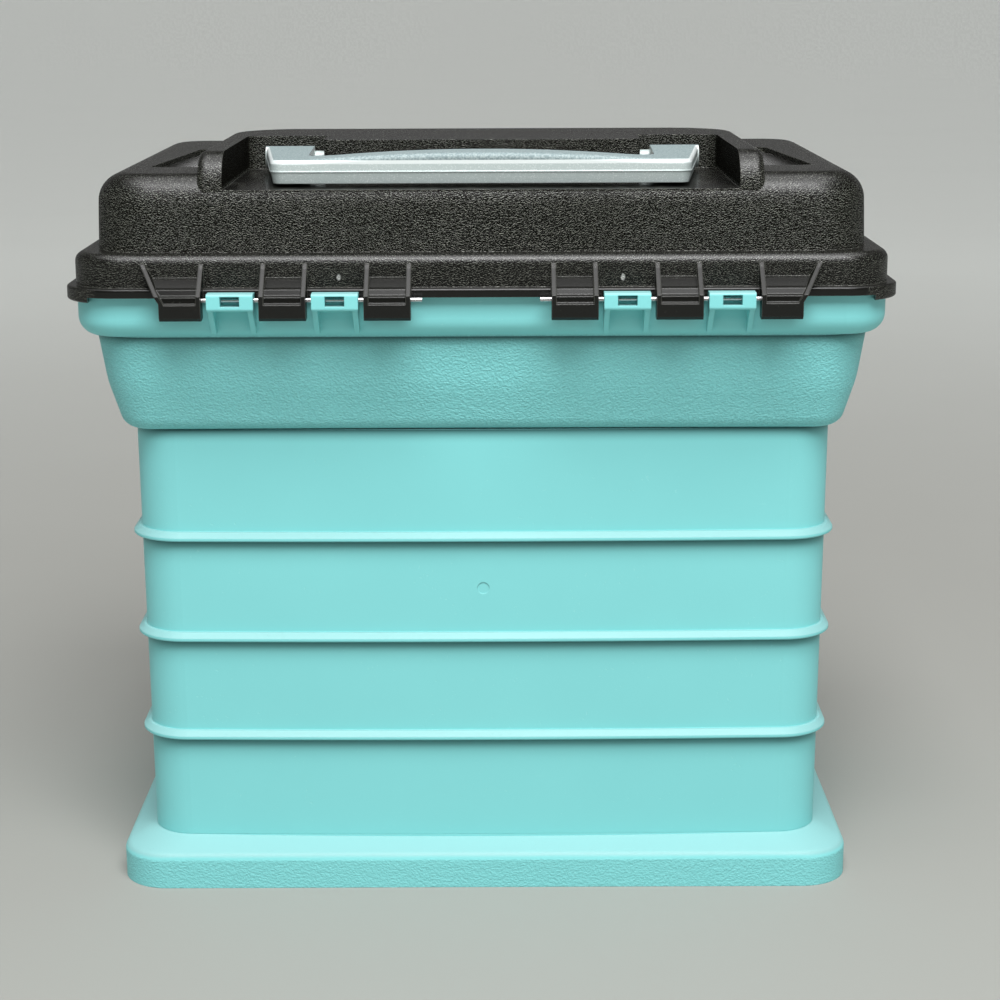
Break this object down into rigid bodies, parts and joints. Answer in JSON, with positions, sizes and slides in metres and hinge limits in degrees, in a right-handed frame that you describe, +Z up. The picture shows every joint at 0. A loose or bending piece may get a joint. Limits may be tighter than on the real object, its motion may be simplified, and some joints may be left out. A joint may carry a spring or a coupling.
{
  "type": "craft organizer rack",
  "caption": "Craft organizer rack: a lidded bulk tub with a folding handle over a rack of slide-out clear compartment boxes behind a drop-down door.",
  "frame": {"origin": "middle of the plinth, on the surface it stands on", "axes": "+Z up; -Y is the front, where the boxes slide out; +Y is the hinge side; +X is to the right when the rack is seen from the front"},
  "size_m": [0.368, 0.4398, 0.342],
  "materials": {
    "teal_plastic": "satin",
    "black_plastic": "grained",
    "silver_plastic": "satin",
    "clear_plastic": "clear",
    "steel": "drawn wire"
  },
  "bodies": {
    "housing": {"housing_plinth": "teal_plastic", "housing_rack": "teal_plastic", "housing_tub": "teal_plastic", "hinge_wire_left": "steel", "hinge_wire_right": "steel", "lid_latch_pin_left": "steel", "lid_latch_pin_right": "steel", "door_hinge_pins": "steel"},
    "lid": {"lid": "black_plastic"},
    "handle": {"carry_handle": "silver_plastic"},
    "door": {"front_door": "teal_plastic"},
    "lid_latch_left": {"lid_latch_left": "black_plastic"},
    "door_bolt_left": {"door_bolt_left": "black_plastic"},
    "lid_latch_right": {"lid_latch_right": "black_plastic"},
    "door_bolt_right": {"door_bolt_right": "black_plastic"},
    "box_1": {"box_tray_1": "clear_plastic", "box_cover_1": "clear_plastic", "box_dividers_1": "clear_plastic"},
    "box_latch_left_1": {"box_latch_left_1": "clear_plastic"},
    "box_latch_right_1": {"box_latch_right_1": "clear_plastic"},
    "box_2": {"box_tray_2": "clear_plastic", "box_cover_2": "clear_plastic", "box_dividers_2": "clear_plastic"},
    "box_latch_left_2": {"box_latch_left_2": "clear_plastic"},
    "box_latch_right_2": {"box_latch_right_2": "clear_plastic"},
    "box_3": {"box_tray_3": "clear_plastic", "box_cover_3": "clear_plastic", "box_dividers_3": "clear_plastic"},
    "box_latch_left_3": {"box_latch_left_3": "clear_plastic"},
    "box_latch_right_3": {"box_latch_right_3": "clear_plastic"},
    "box_4": {"box_tray_4": "clear_plastic", "box_cover_4": "clear_plastic", "box_dividers_4": "clear_plastic"},
    "box_latch_left_4": {"box_latch_left_4": "clear_plastic"},
    "box_latch_right_4": {"box_latch_right_4": "clear_plastic"}
  },
  "joints": [
    {"name": "lid_hinge", "type": "hinge", "parent": "housing", "child": "lid", "pos_m": [0, 0.1325, 0.2805], "axis": [-1, 0, 0], "range_deg": [0, 100]},
    {"name": "handle_fold", "type": "hinge", "parent": "lid", "child": "handle", "pos_m": [0, 0.0183, 0.33285], "axis": [1, 0, 0], "range_deg": [0, 90]},
    {"name": "door_hinge", "type": "hinge", "parent": "housing", "child": "door", "pos_m": [0, -0.1068, 0.017], "axis": [1, 0, 0], "range_deg": [-90, 0]},
    {"name": "lid_latch_left_flip", "type": "hinge", "parent": "housing", "child": "lid_latch_left", "pos_m": [-0.085, -0.1295, 0.269], "axis": [-1, 0, 0], "range_deg": [0, 180]},
    {"name": "door_bolt_left_slide", "type": "slide", "parent": "door", "child": "door_bolt_left", "axis": [0, -1, 0], "range_m": [0, 0.007]},
    {"name": "lid_latch_right_flip", "type": "hinge", "parent": "housing", "child": "lid_latch_right", "pos_m": [0.085, -0.1295, 0.269], "axis": [-1, 0, 0], "range_deg": [0, 180]},
    {"name": "door_bolt_right_slide", "type": "slide", "parent": "door", "child": "door_bolt_right", "axis": [0, -1, 0], "range_m": [0, 0.007]},
    {"name": "box_1_slide", "type": "slide", "parent": "housing", "child": "box_1", "axis": [0, -1, 0], "range_m": [0, 0.15]},
    {"name": "box_latch_left_1_flip", "type": "hinge", "parent": "box_1", "child": "box_latch_left_1", "pos_m": [-0.085, -0.0956, 0.066], "axis": [-1, 0, 0], "range_deg": [0, 80]},
    {"name": "box_latch_right_1_flip", "type": "hinge", "parent": "box_1", "child": "box_latch_right_1", "pos_m": [0.085, -0.0956, 0.066], "axis": [-1, 0, 0], "range_deg": [0, 80]},
    {"name": "box_2_slide", "type": "slide", "parent": "housing", "child": "box_2", "axis": [0, -1, 0], "range_m": [0, 0.15]},
    {"name": "box_latch_left_2_flip", "type": "hinge", "parent": "box_2", "child": "box_latch_left_2", "pos_m": [-0.085, -0.0956, 0.1138], "axis": [-1, 0, 0], "range_deg": [0, 80]},
    {"name": "box_latch_right_2_flip", "type": "hinge", "parent": "box_2", "child": "box_latch_right_2", "pos_m": [0.085, -0.0956, 0.1138], "axis": [-1, 0, 0], "range_deg": [0, 80]},
    {"name": "box_3_slide", "type": "slide", "parent": "housing", "child": "box_3", "axis": [0, -1, 0], "range_m": [0, 0.15]},
    {"name": "box_latch_left_3_flip", "type": "hinge", "parent": "box_3", "child": "box_latch_left_3", "pos_m": [-0.085, -0.0956, 0.1616], "axis": [-1, 0, 0], "range_deg": [0, 80]},
    {"name": "box_latch_right_3_flip", "type": "hinge", "parent": "box_3", "child": "box_latch_right_3", "pos_m": [0.085, -0.0956, 0.1616], "axis": [-1, 0, 0], "range_deg": [0, 80]},
    {"name": "box_4_slide", "type": "slide", "parent": "housing", "child": "box_4", "axis": [0, -1, 0], "range_m": [0, 0.15]},
    {"name": "box_latch_left_4_flip", "type": "hinge", "parent": "box_4", "child": "box_latch_left_4", "pos_m": [-0.085, -0.0956, 0.2094], "axis": [-1, 0, 0], "range_deg": [0, 80]},
    {"name": "box_latch_right_4_flip", "type": "hinge", "parent": "box_4", "child": "box_latch_right_4", "pos_m": [0.085, -0.0956, 0.2094], "axis": [-1, 0, 0], "range_deg": [0, 80]}
  ]
}
